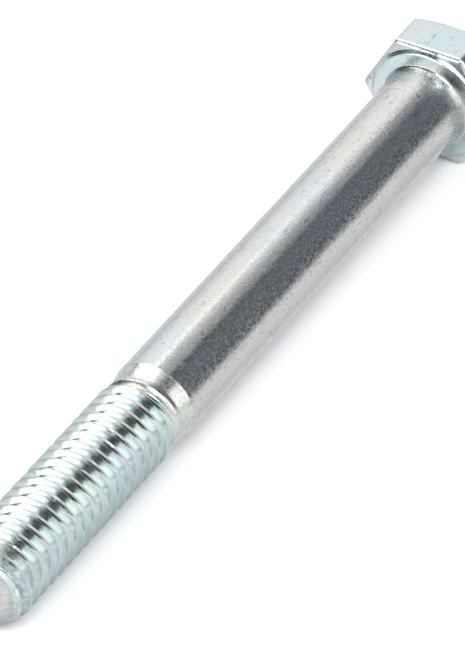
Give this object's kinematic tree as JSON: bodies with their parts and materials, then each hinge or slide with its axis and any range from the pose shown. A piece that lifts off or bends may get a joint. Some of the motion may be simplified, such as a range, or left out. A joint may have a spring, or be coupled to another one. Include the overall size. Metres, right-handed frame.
{
  "type": "hex bolt",
  "caption": "Long partly threaded hexagon head bolt with a washer face under the head, a plain shank, a coarse right-hand thread and a chamfered point.",
  "frame": {"origin": "centre of the flat top of the head, on the bolt's axis", "axes": "+X along the bolt's axis from the head to the point, +Z out of one hexagon flat, which faces up while the bolt lies on the opposite flat, +Y towards a corner of the hexagon"},
  "size_m": [0.0949, 0.0162, 0.014],
  "materials": {
    "zinc_plated_steel": "bright zinc plating with a clear bluish passivate, satin on the shank and head, glossier on the rolled thread"
  },
  "bodies": {
    "root": {"hex_bolt": "zinc_plated_steel"}
  },
  "joints": []
}
